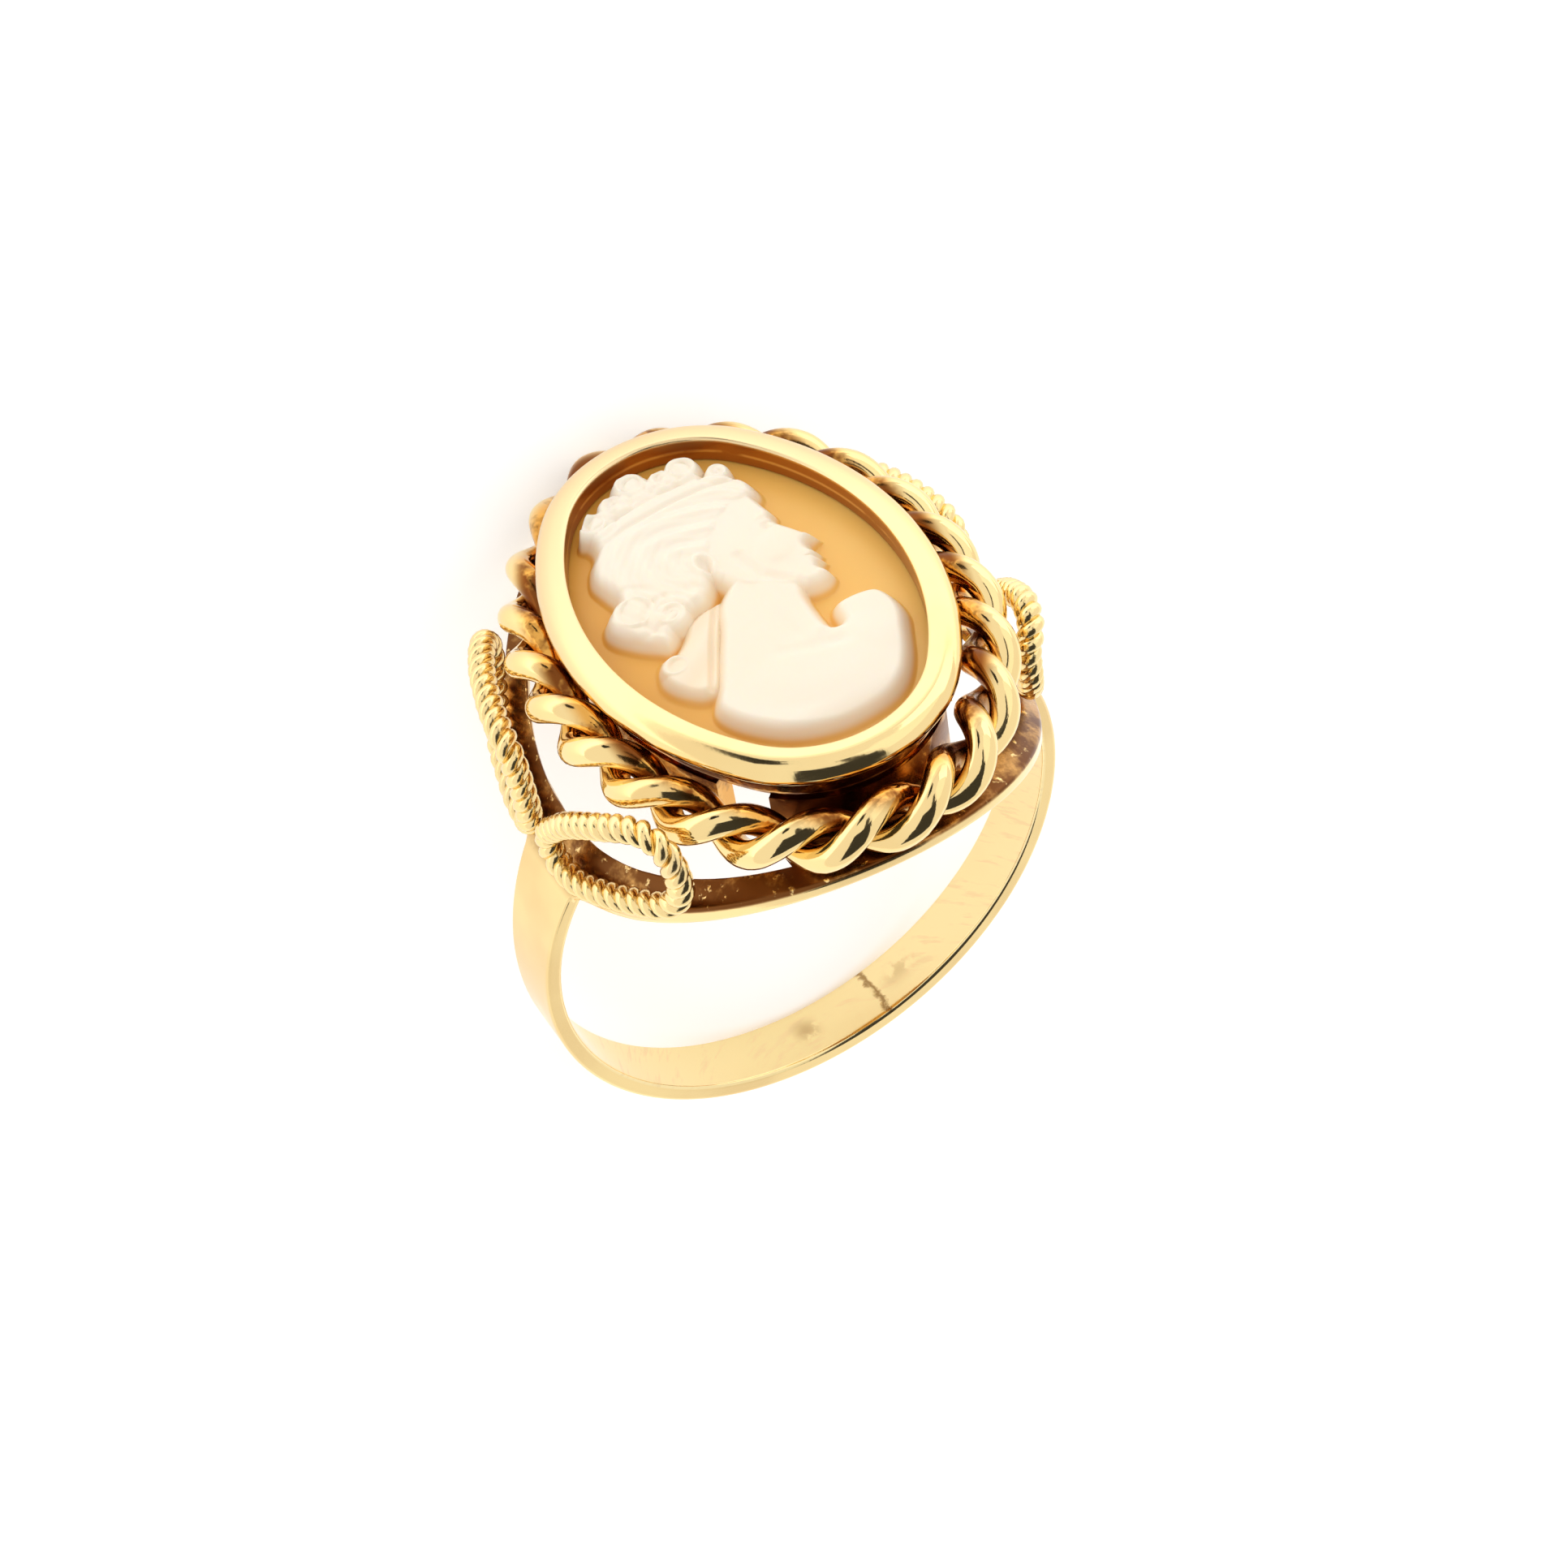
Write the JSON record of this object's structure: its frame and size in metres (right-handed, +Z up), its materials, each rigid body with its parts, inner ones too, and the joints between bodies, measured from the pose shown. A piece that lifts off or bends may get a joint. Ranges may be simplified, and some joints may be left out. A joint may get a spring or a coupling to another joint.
{
  "type": "cameo ring",
  "caption": "Gold cameo ring lying on its back: flat band, pierced saddle, oval bezel with a twisted rope, fine wire loops and a carved shell bust.",
  "frame": {"origin": "centre of the finger hole, midway between the front and back of the band", "axes": "+Z up with the ring lying on its back as in the picture, +X to the ring's right, and the finger's way out leans from +Z towards -Y"},
  "size_m": [0.0186, 0.0229, 0.0181],
  "materials": {
    "gold": "polished yellow gold, softly worn",
    "shell": "carved shell, pale relief on an orange ground, satin"
  },
  "bodies": {
    "root": {"ring_body": "gold", "cameo": "shell", "rope_strand_a": "gold", "rope_strand_b": "gold", "loop_front_left": "gold", "loop_front_right": "gold", "loop_back_left": "gold", "loop_back_right": "gold"}
  },
  "joints": []
}
